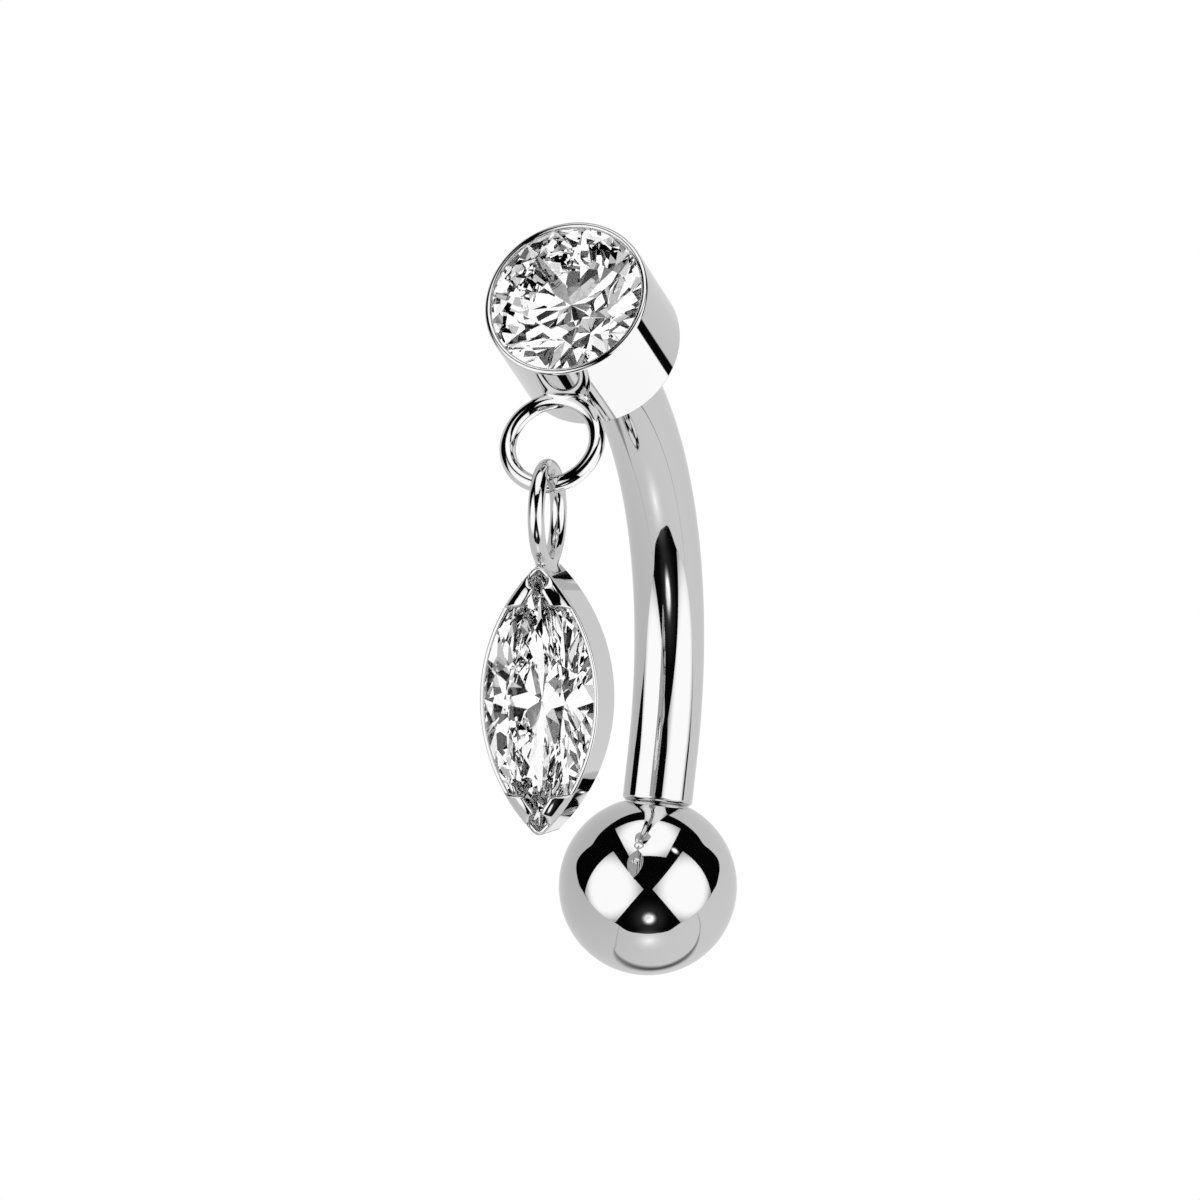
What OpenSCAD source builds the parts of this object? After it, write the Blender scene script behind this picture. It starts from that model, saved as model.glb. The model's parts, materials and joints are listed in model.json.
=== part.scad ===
// Curved barbell: a bent bar with a round stone in a cup on one end, a plain
// ball on the other, and a marquise drop that hangs from a ring on the cup.
// Millimetres, +Z up. The front is -Y. The origin is the middle of the bar,
// where the piercing sits, and the drop hangs straight down.

/* [Bar] */
// Diameter of the bar, 16 gauge
bar_d = 1.2; // [1.1:0.1:1.3]
// Radius of the bend, to the middle of the bar
bend_r = 6.5; // [6.3:0.1:7.5]
// Angle that the bend turns through
bend_angle = 70; // [60:1:74]
// Straight length at each end of the bend
straight_l = 0.9; // [0.6:0.1:1.5]
// Forward tilt of the bar as it is worn
tilt = 25.6; // [20:0.1:28]
// Sideways lean of the bar as it is worn
lean = 3.2; // [0:0.1:4]
// Chamfer on the ends of the bar
end_chamfer = 0.08; // [0.04:0.01:0.12]

/* [Ball] */
// Diameter of the ball
ball_d = 3.06; // [2.8:0.02:3.2]

/* [Cup and round stone] */
// Diameter of the cup
cup_d = 2.88; // [2.86:0.01:3.1]
// Height of the cup
cup_h = 1.95; // [1.9:0.05:2.3]
// Opening that the cup's rolled lip leaves round the stone
mouth_d = 2.64; // [2.62:0.01:2.66]
// Diameter of the round stone
round_d = 2.7; // [2.68:0.01:2.72]
// Height of the round stone above its girdle
round_crown = 0.42; // [0.3:0.02:0.46]
// Depth of the round stone below its girdle
round_pavilion = 1.14; // [1:0.02:1.16]

/* [Links] */
// Diameter of the wire of the ring and of the loop
wire_d = 0.28; // [0.24:0.02:0.3]
// Radius of the ring on the cup, to the middle of its wire
ring_r = 0.79; // [0.76:0.01:0.86]
// Radius of the drop's loop, to the middle of its wire
loop_r = 0.8; // [0.76:0.01:0.86]
// Place of the loop on the ring, as an angle from the point furthest from the cup
hang_angle = 7; // [2:1:9]

/* [Drop] */
// Length of the marquise setting
drop_l = 4.55; // [4.45:0.05:4.7]
// Width of the marquise setting
drop_w = 2.06; // [2:0.02:2.2]
// Height of the wall of the marquise setting
wall_h = 1.2; // [1.1:0.05:1.4]
// Turn of the drop about the line that it hangs on
drop_turn = 7.8; // [0:0.1:10]
// Thickness of the wall of the marquise setting
wall_t = 0.2; // [0.18:0.01:0.22]
// Thickness of the plate that closes the back of the marquise setting
back_t = 0.14; // [0.1:0.02:0.2]
// Diameter of the round hole in that plate
back_hole_d = 1.05; // [0.8:0.05:1.2]
// Length of each arm of the claws that hold the stone's points
claw_l = 0.84; // [0.7:0.02:0.9]
// Width of each claw's arm
claw_w = 0.24; // [0.2:0.02:0.28]
// Height of the marquise stone above its girdle
leaf_crown = 0.28; // [0.24:0.01:0.3]
// Depth of the marquise stone below its girdle
leaf_pavilion = 0.82; // [0.7:0.02:0.86]

/* [Hidden] */
$fn = 64;

steel = "silver";
clear = "aliceblue";

// Gap between pieces that are screwed or set together
seat_gap = 0.02;
// Gap between the ring and the loop that hangs on it
link_gap = 0.03;

bar_r = bar_d / 2;
ball_r = ball_d / 2;
cup_r = cup_d / 2;
mouth_r = mouth_d / 2;
round_r = round_d / 2;
wire_r = wire_d / 2;
half_bend = bend_angle / 2;
// How far a solid that is cut away reaches past what it cuts
cut_over = 1;

// The plain pins that stand for the bar's screw threads, and their bores
pin_r = 0.45;
bore_r = 0.47;
ball_pin_l = 1.0;
cup_pin_l = 0.4;
bore_extra = 0.05;

function turn_x(v, a) = [v.x, v.y * cos(a) - v.z * sin(a), v.y * sin(a) + v.z * cos(a)];
function turn_y(v, a) = [v.x * cos(a) + v.z * sin(a), v.y, v.z * cos(a) - v.x * sin(a)];

// End of the bar towards the cup, in the bar's own upright frame
bar_end = [
    0,
    bend_r * (cos(half_bend) - 1) - straight_l * sin(half_bend),
    bend_r * sin(half_bend) + straight_l * cos(half_bend)
];

module as_worn() {
    rotate([tilt, lean, 0]) children();
}

// The cup's frame: its +Z runs out of the bar's upper end
module at_cup() {
    as_worn() translate(bar_end) rotate([half_bend, 0, 0]) children();
}

// The ball's frame: its +Z runs out of the bar's lower end
module at_ball() {
    as_worn() translate([0, bar_end.y, -bar_end.z]) rotate([180 - half_bend, 0, 0]) children();
}

// BAR

// The bend is a hair thinner than the straight ends that reach over it
bend_thin = 0.01;
end_reach = 0.05;

module bar_bend() {
    translate([0, -bend_r, 0])
        rotate([90, 0, 90])
            rotate([0, 0, -half_bend])
                rotate_extrude(angle = bend_angle)
                    translate([bend_r, 0]) circle(bar_r - bend_thin);
}

// Straight end of the bar with its chamfer, and the pin beyond it
module bar_straight(pin_l) {
    rotate_extrude()
        polygon([
            [0, -straight_l - end_reach],
            [bar_r, -straight_l - end_reach],
            [bar_r, -end_chamfer],
            [bar_r - end_chamfer, 0],
            [pin_r, 0],
            [pin_r, pin_l],
            [0, pin_l]
        ]);
}

module bar() {
    color(steel) {
        as_worn() bar_bend();
        at_cup() bar_straight(cup_pin_l);
        at_ball() bar_straight(ball_pin_l);
    }
}

// BALL

// The ball's middle lies where its surface meets the edge of the bar's end
ball_seat = sqrt(ball_r * ball_r - bar_r * bar_r);

module ball() {
    color(steel)
        at_ball()
            difference() {
                translate([0, 0, seat_gap + ball_seat]) sphere(ball_r);
                translate([0, 0, seat_gap - cut_over]) cylinder(h = cut_over, r = ball_r);
                cylinder(h = seat_gap + ball_pin_l + bore_extra, r = bore_r);
            }
}

// CUP WITH ITS RING

// Depths below the cup's rim
lip_t = 0.03;
girdle_top = 0.07;
girdle_t = 0.07;
rim_round = 0.06;
foot_round = 0.05;
well_r = 1.0;
well_clear = 0.08;
round_slope = round_pavilion / round_r;
seat_r = round_r + seat_gap;
seat_low = girdle_top + girdle_t + seat_gap;
well_top = seat_low + (seat_r - well_r) * round_slope;
well_floor = girdle_top + girdle_t + round_pavilion + well_clear;

// Quarter round from start_angle, as points of a turned profile
quarter_steps = 4;
function quarter(centre, r, start_angle) =
    [for (i = [0:quarter_steps])
        let (a = start_angle + 90 * i / quarter_steps)
        centre + r * [cos(a), sin(a)]];

module cup_body() {
    rotate_extrude()
        polygon(concat(
            [[bore_r, 0]],
            quarter([cup_r - foot_round, foot_round], foot_round, -90),
            quarter([cup_r - rim_round, cup_h - rim_round], rim_round, 0),
            [
                [mouth_r, cup_h],
                [mouth_r, cup_h - lip_t],
                [seat_r, cup_h - lip_t],
                [seat_r, cup_h - seat_low],
                [well_r, cup_h - well_top],
                [well_r, cup_h - well_floor],
                [0, cup_h - well_floor],
                [0, cup_pin_l + bore_extra],
                [bore_r, cup_pin_l + bore_extra]
            ]
        ));
}

// The ring and the loop are sunk this far into what they are soldered to
solder_sink = 0.1;
ring_off = cup_r + ring_r + wire_r - solder_sink;

// Ring of round wire about +Z, whose ends meet on the +Y side
module wire_ring(r) {
    rotate([0, 0, 90]) rotate_extrude() translate([r, 0]) circle(wire_r);
}

module top_cup() {
    color(steel)
        at_cup()
            translate([0, 0, seat_gap]) {
                cup_body();
                translate([0, -ring_off, cup_h / 2]) wire_ring(ring_r);
            }
}

// STONES

// Both stones are cut the same way: a table, eight stars, eight kites and
// sixteen rim facets above the girdle, and eight long facets and sixteen rim
// facets below it. A rim is a ring of points with rim_steps of them to each
// of its sixteen stations, and the kites stand on every second station.
rim_steps = 4;
rim_count = 16 * rim_steps;
kite_step = 2 * rim_steps;

// Corner that the rim's tangents at two neighbouring kites make
function corner(p, n, q, m) =
    let (a = p * n, b = q * m, d = n.x * m.y - n.y * m.x)
    [(a * m.y - b * n.y) / d, (b * n.x - a * m.x) / d];

function cross_2d(a, b) = a.x * b.y - a.y * b.x;

// How far a rim facet falls at a rim point: it holds both ends and the corner
function rim_drop(p, from, to, corner_point, corner_z) =
    corner_z * cross_2d(to - from, p - from) / cross_2d(to - from, corner_point - from);

module brilliant(rim, normals, table, crown, star, pavilion, lower, girdle) {
    corners = [for (i = [0:7])
        let (j = (i + 1) % 8)
        corner(rim[i * kite_step], normals[i], rim[j * kite_step], normals[j])];
    star_z = crown * (1 - star) / (1 - table);
    lower_z = pavilion * (1 - lower);
    // For each rim point: the kite before it, and the two stations it is between
    fall = function (k, share, z)
        let (
            from = floor(k / rim_steps) * rim_steps,
            to = (from + rim_steps) % rim_count,
            i = floor(k / kite_step)
        )
        rim_drop(rim[k], rim[from], rim[to], corners[i] * share, z);
    points = concat(
        [for (i = [0:7]) let (p = rim[i * kite_step] * table) [p.x, p.y, crown]],
        [for (c = corners) [c.x * star, c.y * star, star_z]],
        [for (k = [0:rim_count - 1]) [rim[k].x, rim[k].y, fall(k, star, star_z)]],
        [for (k = [0:rim_count - 1]) [rim[k].x, rim[k].y, -girdle - fall(k, lower, lower_z)]],
        [for (c = corners) [c.x * lower, c.y * lower, -girdle - lower_z]],
        [[0, 0, -girdle - pavilion]]
    );
    table_at = 0;
    star_at = 8;
    top_at = 16;
    low_at = top_at + rim_count;
    lower_at = low_at + rim_count;
    culet = lower_at + 8;
    outward = concat(
        [[for (i = [0:7]) table_at + i]],
        [for (i = [0:7]) [table_at + i, star_at + i, table_at + (i + 1) % 8]],
        [for (i = [0:7]) [table_at + i, star_at + (i + 7) % 8, top_at + i * kite_step, star_at + i]],
        [for (s = [0:15]) concat(
            [star_at + floor(s / 2)],
            [for (k = [0:rim_steps]) top_at + (s * rim_steps + k) % rim_count]
        )],
        [for (k = [0:rim_count - 1])
            let (j = (k + 1) % rim_count)
            [top_at + k, low_at + k, low_at + j, top_at + j]],
        [for (s = [0:15]) concat(
            [lower_at + floor(s / 2)],
            [for (k = [rim_steps:-1:0]) low_at + (s * rim_steps + k) % rim_count]
        )],
        [for (i = [0:7]) [culet, lower_at + i, low_at + i * kite_step, lower_at + (i + 7) % 8]]
    );
    polyhedron(points, [for (f = outward) [for (k = [len(f) - 1:-1:0]) f[k]]]);
}

round_table = 0.56;
round_star = 0.72;
round_lower = 0.22;

module round_stone() {
    rim = [for (k = [0:rim_count - 1]) round_r * [cos(360 * k / rim_count), sin(360 * k / rim_count)]];
    normals = [for (i = [0:7]) [cos(45 * i), sin(45 * i)]];
    color(clear)
        at_cup()
            translate([0, 0, seat_gap + cup_h - girdle_top])
                brilliant(
                    rim, normals, round_table, round_crown, round_star,
                    round_pavilion, round_lower, girdle_t
                );
}

// The marquise is a leaf of two arcs. These are the arcs' radius and how far
// their middles lie off the centre line, for a rounded tip of radius tip_r.
tip_r = 0.12;
half_l = drop_l / 2;
half_w = drop_w / 2;
leaf_r = (pow(half_l - tip_r, 2) / (half_w - tip_r) + half_w + tip_r) / 2;
leaf_off = leaf_r - half_w;
tip_y = half_l - tip_r;
tip_meet = leaf_r * tip_y / (leaf_r - tip_r);

// The stone's rim lies this far inside the setting's outline
stone_inset = 0.08;
stone_r = leaf_r - stone_inset;
stone_tip_angle = acos(leaf_off / stone_r);
leaf_table = 0.55;
leaf_star = 0.74;
leaf_lower = 0.24;
leaf_girdle = 0.06;

// Station s runs from 0 at the upper tip, over 4, 8 and 12, back to 16
function leaf_side(s) = s <= 8 ? -1 : 1;
function leaf_angle(s) = stone_tip_angle * (1 - (s <= 8 ? s : 16 - s) / 4);
function leaf_rim(s) = [
    leaf_side(s) * (stone_r * cos(leaf_angle(s)) - leaf_off),
    stone_r * sin(leaf_angle(s))
];
function leaf_normal(s) =
    s == 0 ? [0, 1] :
    s == 8 ? [0, -1] :
    [leaf_side(s) * cos(leaf_angle(s)), sin(leaf_angle(s))];

// DROP

// The drop is drawn lying on its back, +Y up its length and +Z to its front,
// with the rim of its wall at z = 0. It hangs from the low side of the ring.
ring_low = [
    ring_r * sin(hang_angle),
    -ring_off - ring_r * cos(hang_angle),
    seat_gap + cup_h / 2
];
hang_point = turn_y(turn_x(bar_end + turn_x(ring_low, half_bend), tilt), lean);

loop_mid = half_l + wire_r - solder_sink + loop_r;
hang_y = loop_mid + loop_r - wire_d - link_gap;
wall_mid = -wall_h / 2;

module as_hung() {
    translate(hang_point)
        rotate([90, 0, drop_turn])
            translate([0, -hang_y, -wall_mid]) children();
}

module leaf_outline(inset) {
    intersection() {
        translate([leaf_off, 0]) circle(leaf_r - inset);
        translate([-leaf_off, 0]) circle(leaf_r - inset);
        square([drop_w, 2 * tip_meet], center = true);
    }
}

module drop_outline() {
    leaf_outline(0);
    for (end = [-1, 1]) translate([0, end * tip_y]) circle(tip_r);
}

// A ledge round the inside of the wall carries the stone. A plate closes the back,
// with a round hole that lets light reach the stone.
module drop_wall() {
    recess = leaf_girdle + seat_gap;
    ledge = recess + (wall_t - stone_inset) * leaf_pavilion / (stone_r - leaf_off);
    difference() {
        translate([0, 0, -wall_h]) linear_extrude(wall_h) drop_outline();
        translate([0, 0, back_t - wall_h])
            linear_extrude(wall_h - back_t + cut_over) leaf_outline(wall_t);
        translate([0, 0, -ledge])
            linear_extrude(ledge + cut_over) leaf_outline(stone_inset - seat_gap);
        translate([0, 0, -wall_h - back_t]) cylinder(d = back_hole_d, h = 3 * back_t);
    }
}

// One arm of a claw: a strip on the outline's tangent that leans over the stone
claw_t = 0.1;
claw_slope = 32;
claw_reach = 0.1;

module claw_arm() {
    angle = stone_tip_angle - (claw_l / 2) / stone_r * 180 / PI;
    translate([-leaf_off, 0])
        rotate([0, 0, angle])
            translate([stone_r, 0, seat_gap])
                rotate([0, claw_slope, 0])
                    translate([-claw_w, -claw_l / 2, 0])
                        cube([claw_w + claw_reach, claw_l, claw_t]);
}

module claws() {
    intersection() {
        translate([0, 0, -claw_t]) linear_extrude(cut_over) drop_outline();
        for (x_way = [0, 1], y_way = [0, 1])
            mirror([x_way, 0, 0]) mirror([0, y_way, 0]) claw_arm();
    }
}

module drop_setting() {
    color(steel)
        as_hung() {
            drop_wall();
            claws();
            translate([0, loop_mid, wall_mid]) rotate([180, 90, 0]) wire_ring(loop_r);
        }
}

module marquise_stone() {
    rim = [for (k = [0:rim_count - 1]) leaf_rim(k / rim_steps)];
    normals = [for (i = [0:7]) leaf_normal(2 * i)];
    color(clear)
        as_hung()
            brilliant(
                rim, normals, leaf_table, leaf_crown, leaf_star,
                leaf_pavilion, leaf_lower, leaf_girdle
            );
}

bar();
ball();
top_cup();
round_stone();
drop_setting();
marquise_stone();
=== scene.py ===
# %% [markdown]
# A curved barbell in Blender
#
# The real thing is a small piece of body jewellery: a bent steel bar, a ball, a
# round stone in a cup, and a marquise stone that hangs from a ring. Its solids
# are already made and fixed in place, so this script only gives each of them its
# final surface. Everything is worked out in millimetres in the frame in which a
# jeweller would make the piece, and is then put where the finished piece sits.

# %% Load the fixed frame
import math
from collections import namedtuple
import bmesh
import bpy
import json
import numpy as np
from mathutils import Matrix, Vector


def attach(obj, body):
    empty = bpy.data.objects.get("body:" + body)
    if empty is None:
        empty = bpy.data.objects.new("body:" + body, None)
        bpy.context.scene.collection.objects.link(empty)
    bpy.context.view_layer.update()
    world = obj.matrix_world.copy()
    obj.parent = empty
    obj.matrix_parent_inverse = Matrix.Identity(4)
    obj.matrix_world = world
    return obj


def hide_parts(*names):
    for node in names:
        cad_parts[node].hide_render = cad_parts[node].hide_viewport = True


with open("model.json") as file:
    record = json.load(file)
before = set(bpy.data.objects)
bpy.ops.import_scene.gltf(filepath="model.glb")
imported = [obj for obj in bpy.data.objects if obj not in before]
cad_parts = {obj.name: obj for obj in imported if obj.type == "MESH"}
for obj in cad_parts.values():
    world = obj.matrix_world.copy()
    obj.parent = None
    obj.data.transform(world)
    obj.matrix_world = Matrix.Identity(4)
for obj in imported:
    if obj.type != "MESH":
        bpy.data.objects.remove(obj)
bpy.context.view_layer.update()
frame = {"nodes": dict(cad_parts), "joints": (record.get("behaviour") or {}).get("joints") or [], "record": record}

MM = 0.001
piercing = frame["record"]["mounts"][0]
swing = frame["joints"][0]
print("pieces:", sorted(frame["nodes"]))

# %% [markdown]
# The driving sizes are those of the solids. The bar's tilt and lean come from
# the axis of the piercing, and the drop's turn from the axis that it swings on.
# Each place has its own frame: a matrix that moves a shape drawn at a handy
# origin to where it sits on the finished piece.

# %% Driving sizes, in millimetres
bar_r = 0.6
bend_r = 6.5
bend_angle = math.radians(70)
straight_l = 0.9
ball_r = 1.53
cup_r = 1.44
cup_h = 1.95
mouth_r = 1.32
wire_r = 0.14
ring_r = 0.79
loop_r = 0.8
drop_l = 4.55
drop_w = 2.06
wall_h = 1.2
wall_t = 0.2
seat_gap = 0.02
link_gap = 0.03
solder_sink = 0.1

axis = Vector(piercing["axis"]).normalized()
tilt = math.asin(-axis.y)
lean = math.atan2(axis.x, axis.z)
hang_point = Vector(swing["pos_m"]) / MM
drop_turn = math.atan2(swing["axis"][1], swing["axis"][0])
print("tilt, lean and drop's turn:", [round(math.degrees(a), 1) for a in (tilt, lean, drop_turn)])

# %% Frames of the pieces
half_bend = bend_angle / 2
bar_end_y = bend_r * (math.cos(half_bend) - 1) - straight_l * math.sin(half_bend)
bar_end_z = bend_r * math.sin(half_bend) + straight_l * math.cos(half_bend)


def moved(x, y, z):
    return Matrix.Translation((x, y, z))


def turned_about(letter, angle):
    return Matrix.Rotation(angle, 4, letter)


as_worn = turned_about("Y", lean) @ turned_about("X", tilt)
at_cup = as_worn @ moved(0, bar_end_y, bar_end_z) @ turned_about("X", half_bend) @ moved(0, 0, seat_gap)
at_ball = (
    as_worn
    @ moved(0, bar_end_y, -bar_end_z)
    @ turned_about("X", math.pi - half_bend)
    @ moved(0, 0, seat_gap)
)

ring_off = cup_r + ring_r + wire_r - solder_sink
loop_mid = drop_l / 2 + wire_r - solder_sink + loop_r
hang_y = loop_mid + loop_r - 2 * wire_r - link_gap
as_hung = (
    Matrix.Translation(hang_point)
    @ turned_about("Z", drop_turn)
    @ turned_about("X", math.pi / 2)
    @ moved(0, -hang_y, wall_h / 2)
)
print("cup stands at", [round(v, 2) for v in at_cup.translation])

# %% [markdown]
# The photograph was taken with a long lens, slightly from the right and from
# above. A 600 mm lens on a 36 mm sensor gives its flat perspective. The camera
# is placed by three directions, its right, its down and the way that it looks,
# and by where the middle of the bar lies in them.

# %% Camera
view_azimuth = math.radians(21.34)
view_elevation = math.radians(4)
bar_in_view = Vector((1.0803, -1.2052, 342.82))

view_right = Vector((math.cos(view_azimuth), math.sin(view_azimuth), 0))
view_down = Vector(
    (
        math.sin(view_azimuth) * math.sin(view_elevation),
        -math.cos(view_azimuth) * math.sin(view_elevation),
        -math.cos(view_elevation),
    )
)
view_ahead = view_right.cross(view_down)

camera = bpy.data.objects.new("camera", bpy.data.cameras.new("camera"))
camera.data.lens = 600
camera.data.sensor_width = 36
camera.data.clip_start = 0.05
camera.data.clip_end = 20
camera_place = -(bar_in_view.x * view_right + bar_in_view.y * view_down + bar_in_view.z * view_ahead)
camera.matrix_world = Matrix(
    (
        (view_right.x, -view_down.x, -view_ahead.x, camera_place.x * MM),
        (view_right.y, -view_down.y, -view_ahead.y, camera_place.y * MM),
        (view_right.z, -view_down.z, -view_ahead.z, camera_place.z * MM),
        (0, 0, 0, 1),
    )
)
bpy.context.scene.collection.objects.link(camera)
bpy.context.scene.camera = camera
bpy.context.scene.view_settings.view_transform = "Standard"
print("camera at", [round(v, 3) for v in camera.matrix_world.translation])

# %% [markdown]
# Every material is built from nodes. Colours are written as sRGB hex values, the
# way a colour picker shows them, and one function turns them into the linear
# values that Blender works in. A second small function adds a node, sets it and
# links it.


# %% Colour and node helpers
def linear(hex_colour):
    """Linear RGBA of an sRGB colour such as "#D8D8D8"."""
    parts = [int(hex_colour[i : i + 2], 16) / 255 for i in (1, 3, 5)]
    return [c / 12.92 if c <= 0.04045 else ((c + 0.055) / 1.055) ** 2.4 for c in parts] + [1]


def node(tree, kind, settings=None, **links):
    """Adds a node. Settings are properties, and links are values or sockets for its inputs."""
    made = tree.nodes.new(kind)
    for name, value in (settings or {}).items():
        setattr(made, name, value)
    for name, value in links.items():
        socket = made.inputs[int(name[1:])] if name[0] == "i" and name[1:].isdigit() else made.inputs[name]
        if isinstance(value, bpy.types.NodeSocket):
            tree.links.new(value, socket)
        else:
            socket.default_value = value
    return made


def calc(tree, operation, a, b=0.0, c=0.0):
    """One step of arithmetic as a node."""
    return node(tree, "ShaderNodeMath", {"operation": operation}, i0=a, i1=b, i2=c).outputs[0]


def mapped(tree, value, start, stop, low, high, kind="LINEAR"):
    """Takes a value from the range start to stop over to the range low to high."""
    settings = {"interpolation_type": kind}
    return node(tree, "ShaderNodeMapRange", settings, i0=value, i1=start, i2=stop, i3=low, i4=high).outputs[0]


def coordinates(tree, kind):
    return node(tree, "ShaderNodeTexCoord").outputs[kind]


def new_material(name):
    material = bpy.data.materials.new(name)
    material.use_nodes = True
    material.node_tree.nodes.clear()
    return material, material.node_tree


print("white is", linear("#FFFFFF"))

# %% [markdown]
# The metal is 316L surgical steel, turned and then mirror-polished on a buffing
# wheel. Steel reflects about two thirds of the light, nearly without colour. The
# polish leaves a surface that the eye can't see, so what shows is the studio, and
# only a trace of the wheel: cloudy patches where the gloss is a little softer.

# %% Mirror-polished surgical steel
steel_colour = linear("#D6D6D6")
steel_rough_low, steel_rough_high = 0.02, 0.04
haze_size = 0.9

polished_steel, tree = new_material("mirror_polished_surgical_steel")
place = coordinates(tree, "Object")
haze = node(tree, "ShaderNodeTexNoise", Vector=place, Scale=1 / (haze_size * MM), Detail=2.0)
haze_rough = mapped(tree, haze.outputs["Fac"], 0.3, 0.7, steel_rough_low, steel_rough_high)
steel_shader = node(
    tree,
    "ShaderNodeBsdfPrincipled",
    i0=steel_colour,
    Metallic=1.0,
    Roughness=haze_rough,
)
node(tree, "ShaderNodeOutputMaterial", Surface=steel_shader.outputs[0])
print("steel:", polished_steel.name)

# %% [markdown]
# The stones are colourless cubic zirconia, cut and polished flat on a lap. Its
# index is far above that of glass, which is why light turns round inside and
# comes back out of the top. A polishing lap leaves each facet very slightly
# uneven, and the trace of it is a faint change of gloss.

# %% Colourless cubic zirconia
zirconia_index = 2.2
lap_size = 0.25
lap_rough_high = 0.01

clear_stone, tree = new_material("clear_cubic_zirconia")
place = coordinates(tree, "Object")
lap = node(tree, "ShaderNodeTexNoise", Vector=place, Scale=1 / (lap_size * MM), Detail=1.0)
lap_rough = mapped(tree, lap.outputs["Fac"], 0.55, 0.8, 0.0, lap_rough_high)
stone_shader = node(
    tree,
    "ShaderNodeBsdfPrincipled",
    i0=linear("#FFFFFF"),
    Roughness=lap_rough,
    IOR=zirconia_index,
    **{"Transmission Weight": 1.0},
)
node(tree, "ShaderNodeOutputMaterial", Surface=stone_shader.outputs[0])
print("stone:", clear_stone.name)

# %% [markdown]
# A shape is a list of points, the faces between them and, where it is known, the
# true direction of the surface at each point. A mirror finish shows every error
# in those directions, so round shapes carry exact ones and don't rely on what
# Blender works out from the faces.

# %% Shape helpers
Shape = namedtuple("Shape", "points faces normals")
shown = {}


def joined(shapes):
    points, faces, normals = [], [], []
    start = 0
    for shape in shapes:
        points.append(shape.points)
        normals.append(np.zeros_like(shape.points) if shape.normals is None else shape.normals)
        faces += [tuple(start + i for i in face) for face in shape.faces]
        start += len(shape.points)
    return Shape(np.concatenate(points), faces, np.concatenate(normals))


def placed(shape, matrix):
    m = np.array(matrix)
    normals = None if shape.normals is None else shape.normals @ m[:3, :3].T
    return Shape(shape.points @ m[:3, :3].T + m[:3, 3], shape.faces, normals)


def piece(name, shape, matrix, material, cad_node, body):
    """Makes the finished object of one piece and puts it in place of its solid."""
    shape = placed(shape, matrix)
    mesh = bpy.data.meshes.new(name)
    mesh.from_pydata((shape.points * MM).tolist(), [], shape.faces)
    mesh.materials.append(material)
    if shape.normals is not None:
        mesh.shade_smooth()
        normals = np.array([n.vector for n in mesh.vertex_normals])
        known = np.linalg.norm(shape.normals, axis=1) > 0.5
        normals[known] = shape.normals[known]
        mesh.normals_split_custom_set_from_vertices(normals.tolist())
    made = bpy.data.objects.new(name, mesh)
    bpy.context.scene.collection.objects.link(made)
    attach(made, body)
    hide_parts(cad_node)
    shown[name] = made
    print(f"{name}: {len(mesh.polygons)} faces")
    return made


# %% Smooth curves
def smooth_curve(points, steps, closed=False):
    """Points of a Catmull-Rom curve through the given ones."""
    points = [np.array(p, float) for p in points]
    count = len(points)
    result = []
    for i in range(count if closed else count - 1):
        if closed:
            a, b, c, d = (points[(i + k) % count] for k in (-1, 0, 1, 2))
        else:
            a, b, c, d = (points[min(max(i + k, 0), count - 1)] for k in (-1, 0, 1, 2))
        for k in range(steps):
            t = k / steps
            square, cube = 2 * a - 5 * b + 4 * c - d, 3 * b - a - 3 * c + d
            result.append(0.5 * (2 * b + (c - a) * t + square * t * t + cube * t**3))
    if not closed:
        result.append(points[-1])
    return np.array(result)


# %% [markdown]
# Nearly every metal piece has a section: a closed outline with small round
# corners. The outline is given as corners with a radius each. Each corner is
# replaced by an arc, and the arc's own centre gives the surface direction.


# %% Outlines with round corners
def rounded(corners, arc_steps=6):
    """Points and outward directions of a closed outline of (x, y, radius), drawn counter-clockwise."""
    points, normals = [], []
    count = len(corners)
    for i, (x, y, radius) in enumerate(corners):
        here = np.array((x, y), float)
        before = np.array(corners[i - 1][:2], float) - here
        after = np.array(corners[(i + 1) % count][:2], float) - here
        before /= np.linalg.norm(before)
        after /= np.linalg.norm(after)
        normal_in = np.array((-before[1], before[0]))
        normal_out = np.array((after[1], -after[0]))
        turn = math.atan2(
            normal_in[0] * normal_out[1] - normal_in[1] * normal_out[0], float(normal_in @ normal_out)
        )
        reach = radius * abs(math.tan(turn / 2))
        start = here + before * reach
        side = 1 if turn > 0 else -1
        centre = start - side * radius * normal_in
        for k in range(arc_steps + 1):
            angle = turn * k / arc_steps
            c, s = math.cos(angle), math.sin(angle)
            n = np.array((c * normal_in[0] - s * normal_in[1], s * normal_in[0] + c * normal_in[1]))
            points.append(centre + side * radius * n)
            normals.append(n)
    return np.array(points), np.array(normals)


def spread(points, normals, longest):
    """Adds points on the long straight stretches of a closed outline."""
    out_points, out_normals = [], []
    for i in range(len(points)):
        a, b = points[i], points[(i + 1) % len(points)]
        na, nb = normals[i], normals[(i + 1) % len(points)]
        parts = max(1, math.ceil(np.linalg.norm(b - a) / longest))
        for k in range(parts):
            out_points.append(a + (b - a) * k / parts)
            out_normals.append(na + (nb - na) * k / parts)
    return np.array(out_points), np.array(out_normals)


def grid_faces(rows, columns):
    """Faces of a grid that closes on itself both ways."""
    return [
        (
            r * columns + c,
            r * columns + (c + 1) % columns,
            (r + 1) % rows * columns + (c + 1) % columns,
            (r + 1) % rows * columns + c,
        )
        for r in range(rows)
        for c in range(columns)
    ]


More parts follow.
